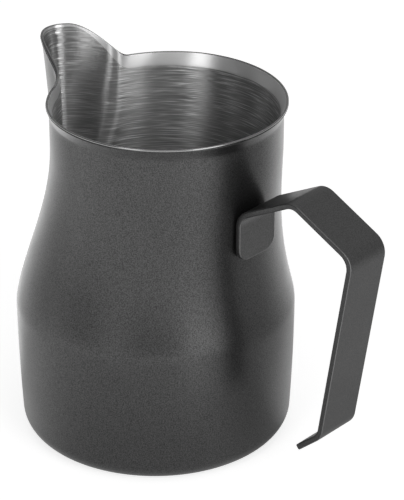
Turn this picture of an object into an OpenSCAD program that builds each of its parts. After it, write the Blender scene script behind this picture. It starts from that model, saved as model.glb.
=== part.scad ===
// Milk frothing pitcher: a one-piece drawn steel body with a pinched spout, coated
// outside and bare inside, and a bent flat strip welded to its neck as the handle.
// Millimetres. The base stands on z = 0 round the z axis, the spout points to -x
// and the handle to +x.

/* [Body] */
// Largest radius of the belly, outside
belly_radius = 42.8; // [36:0.2:52]
// Height of the belly, from the base to where the shoulder starts
belly_height = 42.4; // [30:0.2:60]
// How much narrower the belly is just above its base corner
belly_taper = 1; // [0:0.1:3]
// Radius of the corner between base and belly
base_corner = 5.5; // [3:0.1:9]
// Thickness of the drawn sheet
sheet = 0.8; // [0.5:0.05:1.5]

/* [Shoulder, neck and rim] */
// Height of the shoulder, from belly to neck
shoulder_height = 50; // [30:0.5:70]
// How early the shoulder turns in, 1 is an even curve
shoulder_skew = 0.65; // [0.6:0.05:1.2]
// Radius of the neck, outside
neck_radius = 34.7; // [30:0.1:36]
// Height of the plain neck above the shoulder
neck_height = 13.4; // [6:0.2:25]
// How far the neck stands off the belly axis, towards the handle
neck_shift = 5.1; // [0:0.1:7]
// How far the shift trails the shoulder, in height
shift_lag = 4.6; // [0:0.2:6]
// Height of the flared rim
flare_height = 4.2; // [3:0.2:8]
// How far the rim flares out past the neck
flare_out = 1.75; // [0.5:0.05:3]
// How softly the flare turns out at its foot, 1 is a straight cone
flare_bend = 1.2; // [1:0.1:2]
// Angle from the spout at which the flare has died out
flare_fade_from = 6; // [4:1:20]
// Angle from the spout at which the flare is full
flare_fade_to = 72; // [40:1:120]

/* [Spout] */
// Distance from the belly axis to the centre of the nose's curve
nose_centre = 36.9; // [36:0.1:38.5]
// Radius of the nose at rim height, outside
nose_radius = 5.8; // [4:0.1:7]
// Radius of the nose where the belly ends, outside
nose_foot = 3.3; // [2:0.1:4]
// How far the lip of the spout curls out at its top
lip_curl = 0.8; // [0:0.05:2]
// Height of the curled lip
lip_height = 5.5; // [4:0.5:12]
// Softness of the crease between spout and neck, at the rim
crease_blend = 2.4; // [1.5:0.1:4]
// Extra softness of the crease further down
crease_spread = 2.2; // [0:0.1:3]
// Height over which the crease grows softer
crease_reach = 20; // [12:0.5:40]
// Height of the spout's edge above the rim
edge_peak = 9.4; // [4:0.1:14]
// Angle from the spout over which its edge stays level
edge_level_angle = 7; // [3:0.2:10]
// Angle from the spout at which its edge meets the rim
edge_end_angle = 28; // [22:0.2:40]

/* [Handle strip] */
// Width of the strip
strip_width = 15.8; // [12:0.2:20]
// Thickness of the strip
strip_thickness = 1.8; // [1.2:0.1:3]
// Height of the corner where the strip leaves the neck
root_height = 85.8; // [76:0.1:92]
// Length of the tab on the neck, below that corner
tab_length = 15.6; // [14:0.1:24]
// Radius of the corners at the end of the tab
tab_corner = 4.2; // [1:0.1:5.5]
// Angle at which the first leg rises from the neck
riser_angle = 27.8; // [10:0.2:45]
// Length of the first leg
riser_length = 23.6; // [18:0.1:35]
// Angle at which the second leg drops
slope_angle = 26.4; // [10:0.2:50]
// Length of the second leg
slope_length = 25.3; // [18:0.1:35]
// Lean of the grip towards the body
grip_lean = 9; // [0:0.2:12]
// Length of the grip
grip_length = 63; // [45:0.5:75]
// Angle at which the lip under the grip turns in
lip_angle = 41; // [20:0.2:60]
// Length of the lip
lip_length = 11.2; // [7:0.1:16]
// Outer radius of the bend at the neck
root_bend = 7; // [4:0.1:8]
// Outer radius of the bends above the grip
grip_bend = 6; // [4:0.1:9]
// Outer radius of the bend at the lip
lip_bend = 6.5; // [4:0.1:8]

/* [Welds] */
// Gap that the spot welds leave between the coated neck and the tab
weld_gap = 0.05; // [0.02:0.01:0.3]
// Radius of a spot weld
weld_radius = 1.6; // [1:0.1:2.4]
// Sideways distance between spot welds
weld_spread = 7; // [5:0.1:8]
// Height between spot welds
weld_rise = 5; // [4:0.1:8]

/* [Finish] */
// Thickness of the coat
coat = 0.15; // [0.05:0.01:0.4]

/* [Hidden] */
$fn = 96;

shoulder_top = belly_height + shoulder_height;
flare_foot = shoulder_top + neck_height;
rim_height = flare_foot + flare_height;
lip_foot = rim_height + edge_peak - lip_height;

// Rows and columns of the body's surface
corner_rows = 5;
belly_rows = 3;
shoulder_rows = 9;
neck_rows = 3;
flare_rows = 4;
spout_step = 1.25;
spout_end = 30;
round_step = 6;
half_turn = 180;
slope_probe = 0.2;

function ease(t) = t <= 0 ? 0 : t >= 1 ? 1 : t * t * (3 - 2 * t);

function span(low, high, steps) = [for (i = [1:steps]) low + (high - low) * i / steps];

// Larger of two radii, rounded where they cross
function soft_max(p, q, blend) =
    let (near = max(0, blend - abs(p - q)))
    max(p, q) + near * near / (4 * blend);

// Distance of the section's centre from the belly axis
function centre_x(z) =
    neck_shift * ease((z - belly_height - shift_lag) / shoulder_height);

// Radius of the round part of the section at a height above the base corner
function round_radius(z) =
    let (low = max(0, 1 - (z - base_corner) / (belly_height - base_corner)))
    let (turn = max(0, min(1, (z - belly_height) / shoulder_height)))
    belly_radius - belly_taper * low * low
        - (belly_radius - neck_radius) * ease(pow(turn, shoulder_skew));

// Radius of the nose, which widens as it rises
function nose_size(z) =
    let (rise = max(0, (z - belly_height) / (rim_height - belly_height)))
    nose_foot + (nose_radius - nose_foot) * rise * rise;

// Reach of the nose from the belly axis, curled out at its lip
function nose_reach(z) =
    let (curl = max(0, (z - lip_foot) / lip_height))
    nose_centre + nose_size(z) + lip_curl * curl * curl;

// Radius of the spout, whose section is half an ellipse round the section's centre
function spout_radius(angle, z) =
    let (reach = centre_x(z) + nose_reach(z))
    let (a = min(abs(angle), half_turn / 2))
    reach / sqrt(pow(cos(a), 2) + reach / nose_size(z) * pow(sin(a), 2));

function crease_softness(z) =
    crease_blend + crease_spread * ease((rim_height - z) / crease_reach);

function plain_radius(angle, z) =
    z < belly_height ? round_radius(z)
    : soft_max(round_radius(z), spout_radius(angle, z), crease_softness(z));

// Height of the edge above the rim, by angle from the spout
function edge_lift(angle) =
    edge_peak * ease((edge_end_angle - abs(angle)) / (edge_end_angle - edge_level_angle));

function flare(angle, z) =
    let (rise = max(0, (z - flare_foot) / flare_height))
    let (share = (abs(angle) - flare_fade_from) / (flare_fade_to - flare_fade_from))
    flare_out * ease(share) * pow(rise, flare_bend);

// How much longer a step across the wall is when it is taken along the radius
function slant(angle, z) =
    let (step = plain_radius(angle + slope_probe, z) - plain_radius(angle - slope_probe, z))
    let (lean = step / (2 * slope_probe) * half_turn / PI / plain_radius(angle, z))
    sqrt(1 + lean * lean);

// Point of the base corner, grown outwards by an offset
function corner_point(angle, turn, grown) =
    let (r = round_radius(base_corner) - base_corner + (base_corner + grown) * sin(turn))
    [-r * cos(angle), r * sin(angle), base_corner - (base_corner + grown) * cos(turn)];

// Point of the wall, grown outwards by an offset, with the edge lifted at the spout
function wall_point(angle, row, grown) =
    let (share = (row - belly_height) / (rim_height - belly_height))
    let (z = row + edge_lift(angle) * ease(share))
    let (r = plain_radius(angle, z) + flare(angle, row) + grown * slant(angle, z))
    [centre_x(z) - r * cos(angle), r * sin(angle), z];

// Angles of the columns, from the spout all the way round
half_angles = concat(
    [for (a = [0:spout_step:spout_end - spout_step / 2]) a],
    [for (a = [spout_end:round_step:half_turn - round_step / 2]) a]);
angles = concat(
    half_angles,
    [half_turn],
    [for (i = [len(half_angles) - 1:-1:1]) -half_angles[i]]);
columns = len(angles);

// Heights of the rows above the base corner
wall_rows = concat(
    span(base_corner, belly_height, belly_rows),
    span(belly_height, shoulder_top, shoulder_rows),
    span(shoulder_top, flare_foot, neck_rows),
    span(flare_foot, rim_height, flare_rows));

// Rings of one surface from the base up, leaving out the lowest corner rows
function rings(grown, skipped) = concat(
    [for (i = [skipped:corner_rows])
        [for (a = angles) corner_point(a, 90 * i / corner_rows, grown)]],
    [for (row = wall_rows)
        [for (a = angles) wall_point(a, row, grown)]]);

function reversed(list) = [for (i = [len(list) - 1:-1:0]) list[i]];

function flatten(list) = [for (ring = list) for (point = ring) point];

// Two triangles for each cell between one ring and the next
function band(low, high, rising) = [
    for (j = [0:columns - 1])
        let (k = (j + 1) % columns)
        let (a = low * columns + k, b = high * columns + k)
        let (c = high * columns + j, d = low * columns + j)
        for (cell = rising ? [[a, b, c], [a, c, d]] : [[a, b, d], [b, c, d]]) cell];

// Faces between rings that run up one surface and down another
function skin_faces(count) = [
    for (i = [0:2 * count - 2])
        for (cell = band(i, i + 1, i < count)) cell];

// Reach of the neck's outside from the belly axis, on the handle's side
function neck_reach(z) = centre_x(z) + round_radius(z);

// Directions of the strip's legs, counted up from the x axis
legs = [
    [riser_length, riser_angle],
    [slope_length, -slope_angle],
    [grip_length, -90 - grip_lean],
    [lip_length, -180 + lip_angle]];
bends = [root_bend, grip_bend, grip_bend, lip_bend];
last = len(legs) - 1;

function heading(angle) = [cos(angle), sin(angle)];

function heading_before(i) = i == 0 ? 90 : legs[i - 1][1];

// Length of leg that a bend takes up on either side of its corner
function trim(i) = bends[i] * tan((heading_before(i) - legs[i][1]) / 2);

tab_foot = root_height - tab_length;
tab_top = root_height - trim(0);

// Back of the flat tab, which clears the coat where the neck reaches furthest
tab_probes = 8;
tab_back = max([for (z = span(tab_foot, tab_top, tab_probes)) neck_reach(z)]) + coat + weld_gap;

// Corner where a leg starts, on the outer face of the strip
function corner(i) =
    i == 0 ? [tab_back, root_height]
    : corner(i - 1) + legs[i - 1][0] * heading(legs[i - 1][1]);

// Points of a bend, a depth inside its outer face
bend_rows = 10;
function bend_points(i, depth) =
    let (before = heading_before(i))
    let (hub = corner(i) - trim(i) * heading(before) + bends[i] * heading(before - 90))
    [for (row = [0:bend_rows])
        let (now = before + (legs[i][1] - before) * row / bend_rows)
        hub + (bends[i] - depth) * heading(now + 90)];

// One face of the strip from the foot of the tab to the end of the lip
function strip_face(depth) = concat(
    [[tab_back + depth, tab_foot]],
    [for (i = [0:last]) for (point = bend_points(i, depth)) point],
    [corner(last + 1) - depth * heading(legs[last][1] + 90)]);

// Drop of a round outline below its highest point, a distance to the side
function sag(radius, side) = radius - sqrt(radius * radius - side * side);

// Waste outside a rounded corner at the foot of the tab
module corner_waste(side) {
    spare = strip_thickness;
    reach = strip_thickness + 2 * spare;
    translate([tab_back - spare, side * (strip_width / 2 - tab_corner), tab_foot + tab_corner])
        rotate([0, 90, 0])
            difference() {
                translate([0, side < 0 ? -tab_corner - spare : 0, 0])
                    cube([tab_corner + spare, tab_corner + spare, reach]);
                translate([0, 0, -spare])
                    cylinder(r = tab_corner, h = reach + 2 * spare);
            }
}

// Spot welds, half way into the neck and half way into the tab
module spots() {
    for (side = [-1, 1])
        for (row = [-1, 1]) {
            y = side * weld_spread / 2;
            z = (tab_foot + tab_top + row * weld_rise) / 2;
            x = neck_reach(z) - sag(round_radius(z), y) - sheet / 2;
            translate([x, y, z])
                rotate([0, 90, 0])
                    cylinder(r = weld_radius, h = tab_back + strip_thickness / 2 - x);
        }
}

// Drawn steel body, open at the top
module body_shell() {
    outside = rings(0, 0);
    inside = reversed(rings(-sheet, 0));
    count = len(outside);
    base = [[for (j = [columns - 1:-1:0]) j]];
    floor_face = [[for (j = [0:columns - 1]) (2 * count - 1) * columns + j]];
    color("silver")
        difference() {
            polyhedron(
                points = flatten(concat(outside, inside)),
                faces = concat(base, skin_faces(count), floor_face));
            spots();
        }
}

// Dark coat on the outside, from the base corner to the edge, open at the welds
module body_coat() {
    outside = rings(coat, 1);
    inside = reversed(rings(0, 1));
    count = len(outside);
    color([0.16, 0.16, 0.17])
        difference() {
            polyhedron(
                points = flatten(concat(outside, inside)),
                faces = concat(skin_faces(count), band(2 * count - 1, 0, true)));
            spots();
        }
}

// Bent strip: tab, riser, slope, grip and lip in one piece
module handle_strip() {
    color([0.2, 0.2, 0.21])
        difference() {
            rotate([90, 0, 0])
                linear_extrude(strip_width, center = true)
                    polygon(concat(strip_face(0), reversed(strip_face(strip_thickness))));
            corner_waste(-1);
            corner_waste(1);
            spots();
        }
}

// The welds themselves
module weld_nuggets() {
    color("dimgray")
        spots();
}

body_shell();
body_coat();
handle_strip();
weld_nuggets();
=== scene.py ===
import bmesh
import bpy
import numpy as np
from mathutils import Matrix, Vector

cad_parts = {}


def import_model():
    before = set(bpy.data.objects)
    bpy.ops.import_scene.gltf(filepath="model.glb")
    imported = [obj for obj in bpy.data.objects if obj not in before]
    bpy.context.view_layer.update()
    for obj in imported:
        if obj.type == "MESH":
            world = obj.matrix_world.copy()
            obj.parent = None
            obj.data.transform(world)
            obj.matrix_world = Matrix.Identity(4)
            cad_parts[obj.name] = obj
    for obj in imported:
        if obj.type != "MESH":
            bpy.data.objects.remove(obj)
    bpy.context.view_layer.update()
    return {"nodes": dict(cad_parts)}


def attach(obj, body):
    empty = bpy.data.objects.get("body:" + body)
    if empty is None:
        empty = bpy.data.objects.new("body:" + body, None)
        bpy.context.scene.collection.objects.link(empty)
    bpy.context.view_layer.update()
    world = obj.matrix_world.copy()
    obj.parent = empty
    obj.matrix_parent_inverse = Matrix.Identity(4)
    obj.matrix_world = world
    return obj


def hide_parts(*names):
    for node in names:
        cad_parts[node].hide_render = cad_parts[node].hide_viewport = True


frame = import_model()
nodes = frame["nodes"]
scene = bpy.context.scene

MM = 0.001
QUARTER = 90.0

# Sizes of the body, in millimetres and degrees, as in the CAD source
BELLY_RADIUS = 42.8
BELLY_HEIGHT = 42.4
BELLY_TAPER = 1.0
BASE_CORNER = 5.5
SHEET = 0.8
SHOULDER_HEIGHT = 50.0
SHOULDER_SKEW = 0.65
NECK_RADIUS = 34.7
NECK_HEIGHT = 13.4
NECK_SHIFT = 5.1
SHIFT_LAG = 4.6
FLARE_HEIGHT = 4.2
FLARE_OUT = 1.75
FLARE_BEND = 1.2
FLARE_FADE_FROM = 6.0
FLARE_FADE_TO = 72.0
NOSE_CENTRE = 36.9
NOSE_RADIUS = 5.8
NOSE_FOOT = 3.3
SPOUT_LIP_CURL = 0.8
SPOUT_LIP_HEIGHT = 5.5
CREASE_BLEND = 2.4
CREASE_SPREAD = 2.2
CREASE_REACH = 20.0
EDGE_PEAK = 9.4
EDGE_LEVEL_ANGLE = 7.0
EDGE_END_ANGLE = 28.0
COAT = 0.15

# Sizes of the handle strip, in millimetres and degrees, as in the CAD source
STRIP_WIDTH = 15.8
STRIP_THICKNESS = 1.8
ROOT_HEIGHT = 85.8
TAB_LENGTH = 15.6
TAB_CORNER = 4.2
RISER_ANGLE, RISER_LENGTH = 27.8, 23.6
SLOPE_ANGLE, SLOPE_LENGTH = 26.4, 25.3
GRIP_LEAN, GRIP_LENGTH = 9.0, 63.0
LIP_ANGLE, LIP_LENGTH = 41.0, 11.2
BENDS = [7.0, 6.0, 6.0, 6.5]
WELD_GAP = 0.05

# Heights that follow from the sizes
SHOULDER_TOP = BELLY_HEIGHT + SHOULDER_HEIGHT
FLARE_FOOT = SHOULDER_TOP + NECK_HEIGHT
RIM_HEIGHT = FLARE_FOOT + FLARE_HEIGHT
SPOUT_LIP_FOOT = RIM_HEIGHT + EDGE_PEAK - SPOUT_LIP_HEIGHT

# Steps over which slopes of the wall are measured, in degrees round it and in millimetres up it
SLOPE_PROBE = 0.2
LEAN_PROBE = 0.5

# Easing of the wall where the shoulder starts: offsets up and down it with their weights,
# and the stretch above the base corner over which the easing sets in
EASE_OFFSETS = np.linspace(-2.4, 2.4, 9)
EASE_WEIGHTS = np.array([1, 4, 9, 15, 18, 15, 9, 4, 1], float)
EASE_FROM, EASE_SPAN = 4.0, 10.0


# The body's surface. An angle is in degrees from the spout, and a row is a height on the
# wall before the spout's edge is lifted.

def ease(t):
    t = np.clip(t, 0.0, 1.0)
    return t * t * (3.0 - 2.0 * t)


def centre_x(z):
    return NECK_SHIFT * ease((z - BELLY_HEIGHT - SHIFT_LAG) / SHOULDER_HEIGHT)


def sharp_radius(z):
    low = np.maximum(0.0, 1.0 - (z - BASE_CORNER) / (BELLY_HEIGHT - BASE_CORNER))
    turn = np.clip((z - BELLY_HEIGHT) / SHOULDER_HEIGHT, 0.0, 1.0)
    drop = (BELLY_RADIUS - NECK_RADIUS) * ease(turn ** SHOULDER_SKEW)
    return BELLY_RADIUS - BELLY_TAPER * low * low - drop


def round_radius(z):
    """The radius, eased a little where the shoulder starts, as drawn sheet is."""
    near = sum(w * sharp_radius(z + o) for w, o in zip(EASE_WEIGHTS, EASE_OFFSETS))
    near = near / EASE_WEIGHTS.sum()
    share = ease((z - BASE_CORNER - EASE_FROM) / EASE_SPAN)
    return sharp_radius(z) * (1.0 - share) + near * share


def nose_size(z):
    rise = np.maximum(0.0, (z - BELLY_HEIGHT) / (RIM_HEIGHT - BELLY_HEIGHT))
    return NOSE_FOOT + (NOSE_RADIUS - NOSE_FOOT) * rise * rise


def nose_reach(z):
    curl = np.maximum(0.0, (z - SPOUT_LIP_FOOT) / SPOUT_LIP_HEIGHT)
    return NOSE_CENTRE + nose_size(z) + SPOUT_LIP_CURL * curl * curl


def spout_radius(angle, z):
    """The spout's section, half an ellipse round the section's centre."""
    reach = centre_x(z) + nose_reach(z)
    a = np.radians(np.minimum(np.abs(angle), QUARTER))
    return reach / np.sqrt(np.cos(a) ** 2 + reach / nose_size(z) * np.sin(a) ** 2)


def plain_radius(angle, z):
    """The wall and the spout together, by a smooth maximum that fills their crease."""
    low = round_radius(z)
    spout = spout_radius(angle, z)
    blend = CREASE_BLEND + CREASE_SPREAD * ease((RIM_HEIGHT - z) / CREASE_REACH)
    near = np.maximum(0.0, blend - np.abs(low - spout))
    both = np.maximum(low, spout) + near * near / (4.0 * blend)
    return np.where(z < BELLY_HEIGHT, low, both)


def edge_lift(angle):
    a = np.abs(angle)
    return EDGE_PEAK * ease((EDGE_END_ANGLE - a) / (EDGE_END_ANGLE - EDGE_LEVEL_ANGLE))


def flare(angle, row):
    rise = np.maximum(0.0, (row - FLARE_FOOT) / FLARE_HEIGHT)
    share = (np.abs(angle) - FLARE_FADE_FROM) / (FLARE_FADE_TO - FLARE_FADE_FROM)
    return FLARE_OUT * ease(share) * rise ** FLARE_BEND


def slant(angle, z):
    """How much longer the way through the wall is along the radius than square to it."""
    step = plain_radius(angle + SLOPE_PROBE, z) - plain_radius(angle - SLOPE_PROBE, z)
    lean = step / np.radians(2 * SLOPE_PROBE) / plain_radius(angle, z)
    return np.sqrt(1.0 + lean * lean)


def lifted(angle, row):
    share = (row - BELLY_HEIGHT) / (RIM_HEIGHT - BELLY_HEIGHT)
    return row + edge_lift(angle) * ease(share)


def edge_drop(angle):
    """How much lower the outer corner of the edge is, with the edge cut square to the sheet."""
    high, low = RIM_HEIGHT, RIM_HEIGHT - LEAN_PROBE
    out_high = plain_radius(angle, lifted(angle, high)) + flare(angle, high)
    out_low = plain_radius(angle, lifted(angle, low)) + flare(angle, low)
    lean = (out_high - out_low) / (lifted(angle, high) - lifted(angle, low))
    return SHEET * lean / (1.0 + lean * lean)


def wall_ring(angle, row, grown):
    """Points round the wall at a row, grown outwards from the steel's outer face."""
    share = ease((row - FLARE_FOOT) / FLARE_HEIGHT)
    row = row - edge_drop(angle) * share * (1.0 + grown / SHEET)
    z = lifted(angle, row)
    r = plain_radius(angle, z) + flare(angle, row) + grown * slant(angle, z)
    a = np.radians(angle)
    return np.stack([centre_x(z) - r * np.cos(a), r * np.sin(a), z], -1)


def corner_ring(angle, turn, grown):
    """Points round the base corner, at a turn of 0 under it to a quarter at its side."""
    t = np.radians(turn)
    r = sharp_radius(BASE_CORNER) - BASE_CORNER + (BASE_CORNER + grown) * np.sin(t)
    z = BASE_CORNER - (BASE_CORNER + grown) * np.cos(t)
    a = np.radians(angle)
    return np.stack([-r * np.cos(a), r * np.sin(a), np.full_like(a, z)], -1)


def disc_ring(angle, radius, z):
    """Points on a circle of the flat base."""
    a = np.radians(angle)
    return np.stack([-radius * np.cos(a), radius * np.sin(a), np.full_like(a, z)], -1)


# Angles of the points round the body, closest together at the nose and the creases
NOSE_END, NOSE_STEP = 12.0, 0.5
CREASE_END, CREASE_STEP = 36.0, 0.75
BACK_COUNT = 61
half = np.concatenate([
    np.arange(0.0, NOSE_END, NOSE_STEP),
    np.arange(NOSE_END, CREASE_END, CREASE_STEP),
    np.linspace(CREASE_END, 2 * QUARTER, BACK_COUNT),
])
ANGLES = np.concatenate([half, -half[-2:0:-1]])

# Rows up the wall, closest together where the shoulder starts. The last stretch has the look
# of the flare, and its foot rises towards the spout until little of it is left.
ROW_SHORT = 0.5
ROW_TOP = RIM_HEIGHT - ROW_SHORT
BEND_BELOW, BEND_ABOVE = 4.0, 8.0
TURNED_LEAST = 0.5
TURNED_FROM, TURNED_TO = 9.0, 23.0
BELLY_STEPS, BEND_STEPS, SHOULDER_STEPS, NECK_STEPS, FLARE_STEPS = 9, 24, 23, 11, 13
turned = ease((np.abs(ANGLES) - TURNED_FROM) / (TURNED_TO - TURNED_FROM))
turned_foot = ROW_TOP - TURNED_LEAST + (FLARE_FOOT - ROW_TOP + TURNED_LEAST) * turned


def stretch(low, high, steps):
    """Rows above low and up to high, at every angle."""
    level = np.ones_like(ANGLES)
    return np.linspace(low * level, high * level, steps + 1)[1:]


WALL_ROWS = np.concatenate([
    stretch(BASE_CORNER, BELLY_HEIGHT - BEND_BELOW, BELLY_STEPS),
    stretch(BELLY_HEIGHT - BEND_BELOW, BELLY_HEIGHT + BEND_ABOVE, BEND_STEPS),
    stretch(BELLY_HEIGHT + BEND_ABOVE, SHOULDER_TOP, SHOULDER_STEPS),
    stretch(SHOULDER_TOP, turned_foot, NECK_STEPS),
    stretch(turned_foot, ROW_TOP, FLARE_STEPS),
])


def new_object(name, verts, faces):
    """A smooth piece from points in millimetres, with its faces turned outwards."""
    mesh = bpy.data.meshes.new(name)
    mesh.from_pydata([tuple(v) for v in np.asarray(verts) * MM], [], faces)
    work = bmesh.new()
    work.from_mesh(mesh)
    bmesh.ops.recalc_face_normals(work, faces=work.faces)
    work.to_mesh(mesh)
    work.free()
    for poly in mesh.polygons:
        poly.use_smooth = True
    made = bpy.data.objects.new(name, mesh)
    scene.collection.objects.link(made)
    return made


def lofted(name, rings, start=None, end=None, closed=False):
    """A skin over rings of equal length, with a fan to a centre point at either end."""
    around = len(rings[0])
    verts = [p for ring in rings for p in ring]
    faces = []
    pairs = list(zip(range(len(rings) - 1), range(1, len(rings))))
    if closed:
        pairs.append((len(rings) - 1, 0))
    for low, high in pairs:
        low, high = low * around, high * around
        for j in range(around):
            k = (j + 1) % around
            faces.append((low + j, low + k, high + k, high + j))
    for centre, ring in ((start, 0), (end, len(rings) - 1)):
        if centre is None:
            continue
        verts.append(centre)
        hub = len(verts) - 1
        for j in range(around):
            faces.append((hub, ring * around + j, ring * around + (j + 1) % around))
    return new_object(name, verts, faces)


# Steel body: up its outside, over the rounded edge and down its inside
EDGE_ROUND = 0.36
EDGE_TURNS = np.radians(np.linspace(0.0, QUARTER, 9))
DISC_SHARES = (0.08, 0.3, 0.6, 0.85, 0.97)
CORNER_COUNT = 15
base_radius = float(sharp_radius(np.array(BASE_CORNER))) - BASE_CORNER
rings = [disc_ring(ANGLES, base_radius * s, 0.0) for s in DISC_SHARES]
rings += [corner_ring(ANGLES, t, 0.0) for t in np.linspace(0.0, QUARTER, CORNER_COUNT)]
rings += [wall_ring(ANGLES, row, 0.0) for row in WALL_ROWS]
edge_start = len(rings)
for t in EDGE_TURNS:
    row = RIM_HEIGHT - EDGE_ROUND + EDGE_ROUND * np.sin(t)
    rings.append(wall_ring(ANGLES, row, -EDGE_ROUND + EDGE_ROUND * np.cos(t)))
for t in EDGE_TURNS:
    row = RIM_HEIGHT - EDGE_ROUND + EDGE_ROUND * np.cos(t)
    rings.append(wall_ring(ANGLES, row, -SHEET + EDGE_ROUND - EDGE_ROUND * np.sin(t)))
edge_pairs = range(edge_start - 1, len(rings) - 1)
flare_pairs = range(len(rings) - 1, len(rings) + FLARE_STEPS)
rings += [wall_ring(ANGLES, row, -SHEET) for row in WALL_ROWS[::-1]]
rings += [corner_ring(ANGLES, t, -SHEET) for t in np.linspace(QUARTER, 0.0, CORNER_COUNT)]
rings += [disc_ring(ANGLES, base_radius * s, SHEET) for s in DISC_SHARES[::-1]]
body = lofted("steel_body", rings, start=(0, 0, 0.0), end=(0, 0, SHEET))
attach(body, "root")
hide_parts("body_shell")

# Dark coat on the outside: it starts part of the way round the base corner, ends short of
# the rounded edge and comes back down just off the steel. Its lip is given as thicknesses
# with the way down from its end.
COAT_UNDER = 0.01
COAT_SHORT = 0.12
COAT_FROM = 18.0
COAT_CORNER_COUNT = 13
COAT_LIP = ((0.14, 0.08), (0.11, 0.03), (0.06, 0.0), (COAT_UNDER, -0.01))
coat_end = RIM_HEIGHT - EDGE_ROUND - COAT_SHORT
up = np.linspace(COAT_FROM, QUARTER, COAT_CORNER_COUNT)
down = np.linspace(QUARTER, COAT_FROM, COAT_CORNER_COUNT)
rings = [corner_ring(ANGLES, t, COAT) for t in up]
rings += [wall_ring(ANGLES, row, COAT) for row in WALL_ROWS]
rings += [wall_ring(ANGLES, coat_end - below, grown) for grown, below in COAT_LIP]
rings += [wall_ring(ANGLES, row, COAT_UNDER) for row in WALL_ROWS[::-1]]
rings += [corner_ring(ANGLES, t, COAT_UNDER) for t in down]
coat = lofted("outer_coat", rings, closed=True)
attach(coat, "root")
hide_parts("body_coat")

# Handle: each leg after the tab has a length and a heading in degrees above level
LEGS = [
    (RISER_LENGTH, RISER_ANGLE),
    (SLOPE_LENGTH, -SLOPE_ANGLE),
    (GRIP_LENGTH, -QUARTER - GRIP_LEAN),
    (LIP_LENGTH, -2 * QUARTER + LIP_ANGLE),
]
LIP_CORNER = 0.6

# Rounding of the strip's edges, and distances from its outline at which it has points
STRIP_EDGE = 0.42
EDGE_STEPS = np.array([0.0, 0.02, 0.06, 0.13, 0.22, 0.32, 0.42, 0.6])

# Points along and across the strip
LEG_ROWS = 10
BEND_ROWS = 21
END_ROWS = 6
TAB_ARC = TAB_CORNER * (1 - np.cos(np.linspace(0.6, np.pi / 2, 10)))
TAB_CLEAR = TAB_CORNER + 1.0
LIP_CLEAR = 1.4
FLAT_REACH, FLAT_COUNT = 6.4, 11
TAB_PROBES = 8


def heading(angle):
    return np.array([np.cos(np.radians(angle)), np.sin(np.radians(angle))])


def before(i):
    return QUARTER if i == 0 else LEGS[i - 1][1]


def trim(i):
    """Length that bend i takes from the legs on both its sides."""
    return BENDS[i] * np.tan(np.radians(before(i) - LEGS[i][1]) / 2)


tab_foot = ROOT_HEIGHT - TAB_LENGTH
tab_top = ROOT_HEIGHT - trim(0)
probes = tab_foot + (tab_top - tab_foot) * np.arange(1, TAB_PROBES + 1) / TAB_PROBES
tab_back = float((centre_x(probes) + sharp_radius(probes)).max()) + COAT + WELD_GAP

corners = [np.array([tab_back, ROOT_HEIGHT])]
for reach, angle in LEGS:
    corners.append(corners[-1] + reach * heading(angle))


def strip_rows():
    """Points along the strip's outer line from tab to lip, each with the way in from it."""
    rows = []

    def straight(a, b, angle, shares):
        inward = -heading(angle + QUARTER)
        rows.extend((a + (b - a) * s, inward) for s in shares)

    start = np.array([tab_back, tab_foot])
    for i, (_, angle) in enumerate(LEGS):
        was = before(i)
        stop = corners[i] - trim(i) * heading(was)
        shares = np.linspace(0.0, 1.0, LEG_ROWS)
        if i == 0:
            leg = np.linalg.norm(stop - start)
            plain = np.linspace(TAB_CLEAR, leg, END_ROWS)
            shares = np.unique(np.concatenate([EDGE_STEPS, TAB_ARC, plain])) / leg
        straight(start, stop, was, shares)
        hub = stop + BENDS[i] * heading(was - QUARTER)
        for t in np.linspace(0.0, 1.0, BEND_ROWS)[1:-1]:
            out = heading(was + (angle - was) * t + QUARTER)
            rows.append((hub + BENDS[i] * out, -out))
        start = corners[i] + trim(i) * heading(angle)
    stop = corners[-1]
    leg = np.linalg.norm(stop - start)
    plain = np.linspace(0.0, leg - LIP_CLEAR, END_ROWS)
    shares = np.concatenate([plain, leg - EDGE_STEPS[::-1]]) / leg
    straight(start, stop, LEGS[-1][1], shares)
    return rows


rows = strip_rows()
middle = np.array([p + n * STRIP_THICKNESS / 2 for p, n in rows])
gaps = np.linalg.norm(np.diff(middle, axis=0), axis=1)
lengths = np.concatenate([[0.0], np.cumsum(gaps)])
total = lengths[-1]
half_width = STRIP_WIDTH / 2
across = np.concatenate([
    -half_width + EDGE_STEPS,
    np.linspace(-FLAT_REACH, FLAT_REACH, FLAT_COUNT),
    half_width - EDGE_STEPS[::-1],
])


def end_width(u):
    """Half width of the strip at a length along it, with rounded corners at both ends."""
    w = half_width
    for corner, along in ((TAB_CORNER, u), (LIP_CORNER, total - u)):
        if along < corner:
            w = half_width - corner + np.sqrt(max(0.0, corner ** 2 - (corner - along) ** 2))
    return w


def inset(u, v):
    """Distance of a point of the flat strip from its outline."""
    v = abs(v)
    d = min(half_width - v, u, total - u)
    for corner, along in ((TAB_CORNER, u), (LIP_CORNER, total - u)):
        if along < corner and v > half_width - corner:
            d = min(d, corner - np.hypot(corner - along, v - half_width + corner))
    return max(0.0, d)


def half_thick(d):
    """Half thickness of the strip at a distance from its outline, with rounded edges."""
    flat = STRIP_THICKNESS / 2
    if d >= STRIP_EDGE:
        return flat
    return flat - STRIP_EDGE + np.sqrt(STRIP_EDGE ** 2 - (STRIP_EDGE - d) ** 2)


verts, faces = [], []
count = len(across)
for (point, inward), u in zip(rows, lengths):
    scale = end_width(u) / half_width
    for side in (-1, 1):
        for v in across * scale:
            deep = STRIP_THICKNESS / 2 + side * half_thick(inset(u, v))
            spot = point + inward * deep
            verts.append((spot[0], v, spot[1]))


def strip_index(row, side, column):
    return (row * 2 + side) * count + column


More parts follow.
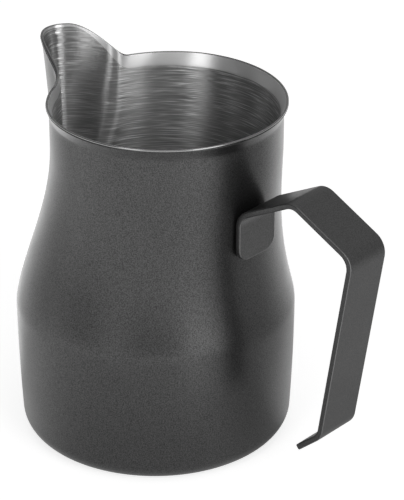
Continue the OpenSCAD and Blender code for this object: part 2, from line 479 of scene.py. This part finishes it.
for i in range(len(rows) - 1):
    for j in range(count - 1):
        for side in (0, 1):
            faces.append((
                strip_index(i, side, j), strip_index(i + 1, side, j),
                strip_index(i + 1, side, j + 1), strip_index(i, side, j + 1)))
    for j in (0, count - 1):
        faces.append((
            strip_index(i, 0, j), strip_index(i, 1, j),
            strip_index(i + 1, 1, j), strip_index(i + 1, 0, j)))
for i in (0, len(rows) - 1):
    for j in range(count - 1):
        faces.append((
            strip_index(i, 0, j), strip_index(i, 0, j + 1),
            strip_index(i, 1, j + 1), strip_index(i, 1, j)))
handle = new_object("strip_handle", verts, faces)
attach(handle, "root")
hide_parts("handle_strip")


# Building blocks of the materials

def material(name):
    made = bpy.data.materials.new(name)
    made.use_nodes = True
    tree = made.node_tree
    return made, tree, tree.nodes["Principled BSDF"]


def add(tree, kind, **values):
    """A new node, with values for its inputs and settings."""
    node = tree.nodes.new(kind)
    for key, value in values.items():
        if key in node.inputs:
            node.inputs[key].default_value = value
        else:
            setattr(node, key, value)
    return node


def feed(tree, node, sources):
    """Links other nodes' outputs, or sets plain values, on a node's inputs in their order."""
    for socket, source in zip(node.inputs, sources):
        if isinstance(source, bpy.types.NodeSocket):
            tree.links.new(source, socket)
        else:
            socket.default_value = source


def number(tree, operation, *sources):
    node = add(tree, "ShaderNodeMath", operation=operation)
    feed(tree, node, sources)
    return node.outputs["Value"]


def vector(tree, operation, *sources):
    node = add(tree, "ShaderNodeVectorMath", operation=operation)
    feed(tree, node, sources)
    gives_number = operation in ("LENGTH", "DOT_PRODUCT")
    return node.outputs["Value" if gives_number else "Vector"]


def noise(tree, place, scale, detail):
    node = add(tree, "ShaderNodeTexNoise", Scale=scale, Detail=detail)
    tree.links.new(place, node.inputs["Vector"])
    return node.outputs["Fac"]


def ramp(tree, source, stops):
    """A grey for each value of the source, from pairs of a place and a shade."""
    node = tree.nodes.new("ShaderNodeValToRGB")
    points = node.color_ramp.elements
    while len(points) < len(stops):
        points.new(0.5)
    for point, (place, shade) in zip(points, stops):
        point.position = place
        point.color = (shade, shade, shade, 1.0)
    tree.links.new(source, node.inputs["Fac"])
    return node.outputs["Color"]


def map_range(tree, source, low, high, to_low, to_high):
    node = add(tree, "ShaderNodeMapRange")
    limits = {"From Min": low, "From Max": high, "To Min": to_low, "To Max": to_high}
    for key, value in limits.items():
        node.inputs[key].default_value = value
    tree.links.new(source, node.inputs["Value"])
    return node.outputs["Result"]


# Coats. Specks and clouds are noises in metres, and their ranges are the values of the noise
# that take the lowest and the highest gloss or roughness.
COAT_IOR = 1.68
COAT_BLUE = 1.02
SPECK_SCALE, SPECK_DETAIL, SPECK_RANGE = 3000.0, 1.0, (0.3, 0.7)
SPECK_DEPTH = 0.0001
CLOUD_SCALE, CLOUD_DETAIL, CLOUD_RANGE = 90.0, 2.0, (0.35, 0.65)

# Each coat's shade, its range of gloss, the strength of its relief and its range of roughness
COATS = {
    "charcoal_coat": (0.008, (0.28, 0.7), 0.2, (0.315, 0.345)),
    "smooth_charcoal_coat": (0.008, (0.58, 1.0), 0.1, (0.36, 0.4)),
    "strip_edge_coat": (0.008, (0.28, 0.48), 0.1, (0.3, 0.34)),
    # The strip's rounded edges take a lighter shade: a painted highlight line along them
    "strip_corner_painted_highlight": (0.028, (0.8, 1.0), 0.1, (0.26, 0.3)),
    "coated_weld": (0.008, (0.4, 0.5), 0.15, (0.34, 0.42)),
}


def coat_material(name, shade, gloss, relief, roughness):
    """A satin coat, whose fine specks mirror more or less of the light."""
    made, tree, shader = material(name)
    link = tree.links.new
    place = add(tree, "ShaderNodeTexCoord").outputs["Object"]
    specks = noise(tree, place, SPECK_SCALE, SPECK_DETAIL)
    clouds = noise(tree, place, CLOUD_SCALE, CLOUD_DETAIL)
    link(map_range(tree, specks, *SPECK_RANGE, *gloss), shader.inputs["Specular IOR Level"])
    link(map_range(tree, clouds, *CLOUD_RANGE, *roughness), shader.inputs["Roughness"])
    bump = add(tree, "ShaderNodeBump", Strength=relief, Distance=SPECK_DEPTH)
    link(specks, bump.inputs["Height"])
    link(bump.outputs["Normal"], shader.inputs["Normal"])
    shader.inputs["Base Color"].default_value = (shade, shade, shade * COAT_BLUE, 1.0)
    shader.inputs["IOR"].default_value = COAT_IOR
    return made


coats = {name: coat_material(name, *values) for name, values in COATS.items()}

# Bare steel. Its lines run round the wall, so the noise changes slowly along them and fast
# across them, and low down they turn into rings on the flat bottom.
LINE_SCALE_ROUND, LINE_SCALE_ACROSS = 130.0, 4600.0
LINE_DETAIL = 1.0
LINE_TILT = 0.17
LINE_SHADES = [(0.34, 0.36), (0.5, 0.48), (0.6, 0.64), (0.7, 1.0)]
RINGS_FROM, RINGS_FULL = 0.007, 0.003
BRUSHED_ROUGHNESS, BRUSHED_PULL = 0.38, 1.0
PULL_TURN = 0.25

# Shade, roughness and pull of the plainer steels on the flare and on the edge. The flare's
# smoother finish is its own, but its lighter shade is painted light on that band, and the
# edge's darker shade is painted shade along the rim
PAINTED_LIGHT_FLARE_STEEL = (0.82, 0.42, 0.85)
PAINTED_SHADE_EDGE_STEEL = (0.3, 0.16, 0.0)


def set_steel(tree, shader, roughness, pull):
    """Bare metal whose highlights are pulled out across its lines. Gives the way round."""
    tangent = add(tree, "ShaderNodeTangent", direction_type="RADIAL", axis="Z")
    tree.links.new(tangent.outputs["Tangent"], shader.inputs["Tangent"])
    shader.inputs["Metallic"].default_value = 1.0
    shader.inputs["Roughness"].default_value = roughness
    shader.inputs["Anisotropic"].default_value = pull
    shader.inputs["Anisotropic Rotation"].default_value = PULL_TURN
    return tangent.outputs["Tangent"]


def brushed_steel(name):
    """Steel whose lines differ in shade and tilt the surface a little to one side."""
    made, tree, shader = material(name)
    link = tree.links.new
    tangent = set_steel(tree, shader, BRUSHED_ROUGHNESS, BRUSHED_PULL)
    place = add(tree, "ShaderNodeTexCoord")
    parts = add(tree, "ShaderNodeSeparateXYZ")
    link(place.outputs["Object"], parts.inputs["Vector"])
    flat = vector(tree, "MULTIPLY", place.outputs["Object"], (1.0, 1.0, 0.0))
    low = map_range(tree, parts.outputs["Z"], RINGS_FROM, RINGS_FULL, 0.0, 1.0)
    rounds = number(tree, "MULTIPLY", low, vector(tree, "LENGTH", flat))
    lines = number(tree, "ADD", parts.outputs["Z"], rounds)
    coords = add(tree, "ShaderNodeCombineXYZ")
    for axis, source, factor in (
        ("X", parts.outputs["X"], LINE_SCALE_ROUND),
        ("Y", parts.outputs["Y"], LINE_SCALE_ROUND),
        ("Z", lines, LINE_SCALE_ACROSS),
    ):
        link(number(tree, "MULTIPLY", source, factor), coords.inputs[axis])
    fine = noise(tree, coords.outputs["Vector"], 1.0, LINE_DETAIL)
    link(ramp(tree, fine, LINE_SHADES), shader.inputs["Base Color"])
    tilt = add(tree, "ShaderNodeVectorMath", operation="SCALE")
    link(tangent, tilt.inputs["Vector"])
    link(map_range(tree, fine, 0.0, 1.0, -LINE_TILT, LINE_TILT), tilt.inputs["Scale"])
    facing = vector(tree, "ADD", place.outputs["Normal"], tilt.outputs["Vector"])
    link(vector(tree, "NORMALIZE", facing), shader.inputs["Normal"])
    return made


def plain_steel(name, shade, roughness, pull):
    made, tree, shader = material(name)
    set_steel(tree, shader, roughness, pull)
    shader.inputs["Base Color"].default_value = (shade, shade, shade, 1.0)
    return made


def dress(piece, *looks):
    for look in looks:
        piece.data.materials.append(look)


steel_look = brushed_steel("brushed_steel")
# Flare steel lighter than the wall's as painted light, edge steel darker as painted shade
painted_light_flare_look = plain_steel("turned_steel_painted_light", *PAINTED_LIGHT_FLARE_STEEL)
painted_shade_edge_look = plain_steel("steel_edge_painted_shade", *PAINTED_SHADE_EDGE_STEEL)

# The body's flare and edge have looks of their own: a lighter steel on the flare, which is
# painted light, and a darker steel on the rounded edge, which is painted shade
PAINTED_LIGHT_FLARE_SLOT, PAINTED_SHADE_EDGE_SLOT = 1, 2
dress(body, steel_look, painted_light_flare_look, painted_shade_edge_look)
for slot, pairs in ((PAINTED_LIGHT_FLARE_SLOT, flare_pairs), (PAINTED_SHADE_EDGE_SLOT, edge_pairs)):
    for pair in pairs:
        for poly in body.data.polygons[pair * len(ANGLES):(pair + 1) * len(ANGLES)]:
            poly.material_index = slot

dress(coat, coats["charcoal_coat"])

# So have the strip's sides, in a duller coat, and its rounded edges, whose lighter coat is a
# painted highlight line along them; both are told by how far their faces turn to the side
SIDE_SLOT, PAINTED_HIGHLIGHT_SLOT = 1, 2
SIDE_TURN, CORNER_TURN = 0.9, 0.2
STRIP_LOOKS = ("smooth_charcoal_coat", "strip_edge_coat", "strip_corner_painted_highlight")
dress(handle, *(coats[name] for name in STRIP_LOOKS))
for poly in handle.data.polygons:
    if abs(poly.normal.y) > SIDE_TURN:
        poly.material_index = SIDE_SLOT
    elif abs(poly.normal.y) > CORNER_TURN:
        poly.material_index = PAINTED_HIGHLIGHT_SLOT

weld = nodes["weld_nuggets"]
weld.data.materials.clear()
dress(weld, coats["coated_weld"])

# Floor, a hair below the base
FLOOR_RADIUS, FLOOR_CORNERS = 0.6, 96
FLOOR_DROP = 0.0002
work = bmesh.new()
bmesh.ops.create_circle(work, cap_ends=True, segments=FLOOR_CORNERS, radius=FLOOR_RADIUS)
floor_mesh = bpy.data.meshes.new("floor")
work.to_mesh(floor_mesh)
work.free()
floor = bpy.data.objects.new("floor", floor_mesh)
floor.location = (0.0, 0.0, -FLOOR_DROP)
scene.collection.objects.link(floor)

# The floor's colour, its glow to the camera, and its glow in what mirrors it, which goes from
# the first to the second level over a reach of distances from the middle. That mirrored glow is
# painted light, and its dimness near the middle is a painted shadow of the body round its base
FLOOR_COLOUR = (0.6, 0.6, 0.6, 1.0)
WHITE = (1.0, 1.0, 1.0, 1.0)
FLOOR_SEEN = 0.72
FLOOR_MIRRORED = (0.36, 1.0)
FLOOR_REACH = (0.06, 0.22)

# Painted light and shade in the mirrored glow, seen as lighter and darker bands in the coat and
# steel that mirror the floor: the bearing of each from the middle, the cosines from it at which
# it starts and is full, its reach, and what it adds at both ends
PAINTED_FLOOR_BANDS = (
    ((0.87, 0.5, 0.0), (0.72, 0.96), FLOOR_REACH, (-0.24, -0.8)),
    ((-0.77, 0.64, 0.0), (0.45, 0.95), FLOOR_REACH, (2.2, 0.2)),
    ((0.97, -0.24, 0.0), (0.92, 0.99), (0.3, 0.5), (0.0, 1.8)),
    ((-0.87, -0.5, 0.0), (0.5, 0.95), (0.05, 0.14), (0.2, 0.04)),
    ((0.6, 0.8, 0.0), (0.88, 0.98), (0.06, 0.13), (0.42, 0.0)),
    ((0.945, -0.327, 0.0), (0.97, 0.998), (0.13, 0.17), (0.65, 0.0)),
    ((0.945, -0.327, 0.0), (0.97, 0.998), (0.085, 0.11), (-0.65, 0.0)),
    ((-0.94, -0.34, 0.0), (0.88, 0.98), (0.14, 0.2), (0.0, -0.4)),
)


def floor_glow(tree):
    """Strength of the floor's glow, for what sees it straight on and for what mirrors it; the
    mirrored part holds the painted shadow and the painted bands.
    """
    path = add(tree, "ShaderNodeLightPath")
    place = add(tree, "ShaderNodeTexCoord").outputs["Object"]
    away = vector(tree, "LENGTH", place)
    bearing = vector(tree, "NORMALIZE", place)
    level = map_range(tree, away, *FLOOR_REACH, *FLOOR_MIRRORED)
    for way, cosines, reach, gain in PAINTED_FLOOR_BANDS:
        facing = vector(tree, "DOT_PRODUCT", bearing, way)
        share = map_range(tree, facing, *cosines, 0.0, 1.0)
        more = map_range(tree, away, *reach, *gain)
        level = number(tree, "MULTIPLY_ADD", share, more, level)
    seen = number(tree, "MULTIPLY", path.outputs["Is Camera Ray"], FLOOR_SEEN)
    mirrored = number(tree, "MULTIPLY", path.outputs["Is Glossy Ray"], level)
    return number(tree, "ADD", seen, mirrored)


floor_look = bpy.data.materials.new("pale_floor")
floor_look.use_nodes = True
tree = floor_look.node_tree
tree.nodes.clear()
matt = add(tree, "ShaderNodeBsdfDiffuse", Color=FLOOR_COLOUR)
glow = add(tree, "ShaderNodeEmission", Color=WHITE)
tree.links.new(floor_glow(tree), glow.inputs["Strength"])
both = add(tree, "ShaderNodeAddShader")
feed(tree, both, (matt.outputs["BSDF"], glow.outputs["Emission"]))
out = add(tree, "ShaderNodeOutputMaterial")
tree.links.new(both.outputs["Shader"], out.inputs["Surface"])
floor_mesh.materials.append(floor_look)

# Surroundings: white to the camera, and otherwise greys by height, from 0 straight down to 1
# straight up. Each part multiplies them by its gain round a direction of its own, with the
# cosines from it at which the gain starts and is full.
SKY_SHADES = [(0.0, 0.36), (0.65, 0.36), (0.8, 0.42), (1.0, 0.5)]
SKY_PARTS = (
    ((0.505, -0.542, 0.672), (0.85, 1.0), 2.3),
    ((-0.64, -0.77, 0.0), (0.3, 0.9), 0.35),
)
world = bpy.data.worlds.new("studio")
scene.world = world
world.use_nodes = True
tree = world.node_tree
tree.nodes.clear()
place = add(tree, "ShaderNodeTexCoord").outputs["Generated"]
parts = add(tree, "ShaderNodeSeparateXYZ")
tree.links.new(place, parts.inputs["Vector"])
height = map_range(tree, parts.outputs["Z"], -1.0, 1.0, 0.0, 1.0)
gains = []
for way, cosines, gain in SKY_PARTS:
    facing = vector(tree, "DOT_PRODUCT", place, way)
    gains.append(map_range(tree, facing, *cosines, 1.0, gain))
around = add(tree, "ShaderNodeBackground")
feed(tree, around, (ramp(tree, height, SKY_SHADES), number(tree, "MULTIPLY", *gains)))
white = add(tree, "ShaderNodeBackground", Color=WHITE, Strength=1.0)
path = add(tree, "ShaderNodeLightPath")
choose = add(tree, "ShaderNodeMixShader")
feed(tree, choose, (
    path.outputs["Is Camera Ray"],
    around.outputs["Background"],
    white.outputs["Background"],
))
out = add(tree, "ShaderNodeOutputWorld")
tree.links.new(choose.outputs["Shader"], out.inputs["Surface"])

# Soft boxes in metres and watts: name, azimuth in degrees, width, height and power
SOFTBOX_AWAY, SOFTBOX_TALL = 0.9, 0.8
SOFTBOX_AIM = Vector((0.0, 0.0, 0.1))
SOFTBOXES = (
    ("right_box", -10.0, 0.46, 0.38, 2.9),
    ("left_box", -80.5, 0.34, 0.45, 1.95),
)


def look_along(thing, way):
    thing.rotation_euler = way.to_track_quat("-Z", "Y").to_euler()


def softbox(name, azimuth, width, high, power):
    data = bpy.data.lights.new(name, "AREA")
    data.shape = "RECTANGLE"
    data.size, data.size_y = width, SOFTBOX_TALL
    data.energy = power
    made = bpy.data.objects.new(name, data)
    a = np.radians(azimuth)
    place = Vector((SOFTBOX_AWAY * np.cos(a), SOFTBOX_AWAY * np.sin(a), high))
    made.location = place
    look_along(made, SOFTBOX_AIM - place)
    made.visible_camera = False
    scene.collection.objects.link(made)


for box in SOFTBOXES:
    softbox(*box)

# Camera
CAMERA_PLACE = (0.46349, -0.49569, 0.41239)
CAMERA_WAY = Vector((-0.5914, 0.6598, -0.4635))
CAMERA_LENS, CAMERA_SENSOR = 180.0, 36.0
camera_data = bpy.data.cameras.new("photo_camera")
camera_data.lens = CAMERA_LENS
camera_data.sensor_width = CAMERA_SENSOR
camera = bpy.data.objects.new("photo_camera", camera_data)
camera.location = CAMERA_PLACE
look_along(camera, CAMERA_WAY)
scene.collection.objects.link(camera)
scene.camera = camera
scene.view_settings.view_transform = "Standard"
